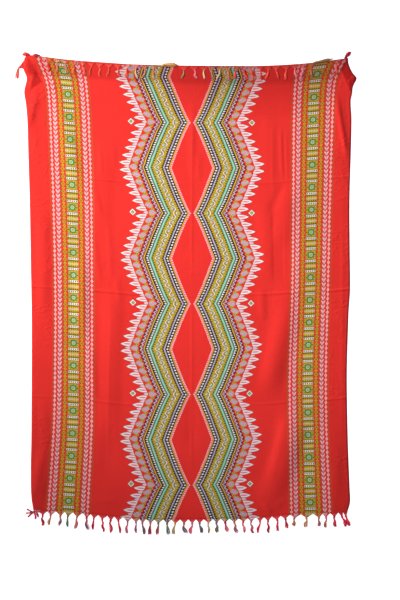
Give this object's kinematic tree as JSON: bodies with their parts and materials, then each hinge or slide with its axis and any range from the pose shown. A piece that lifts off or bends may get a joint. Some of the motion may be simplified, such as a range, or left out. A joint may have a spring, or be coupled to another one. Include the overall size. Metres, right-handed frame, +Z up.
{
  "type": "sarong",
  "caption": "Rectangular fringed sarong of soft printed cloth, laid out flat with its face up, with patterned side borders, a patterned centre column and tasselled ends.",
  "frame": {"origin": "on the surface that the cloth rests on, under the middle of the laid-out piece, fringes included", "axes": "+X across the cloth to its right as its face is seen, +Y along it towards the top end, +Z up from its face"},
  "size_m": [1.1872, 1.6862, 0.0105],
  "materials": {
    "printed_cloth": "soft plain-woven viscose, printed all over, with a faint sheen",
    "fringe_yarn": "twisted warp yarn, dyed through from the print beside it"
  },
  "bodies": {
    "root": {"panel": "printed_cloth", "corner_left": "printed_cloth", "corner_right": "printed_cloth", "fringe_bottom": "fringe_yarn", "fringe_top": "fringe_yarn", "tassel_left": "fringe_yarn"}
  },
  "joints": []
}
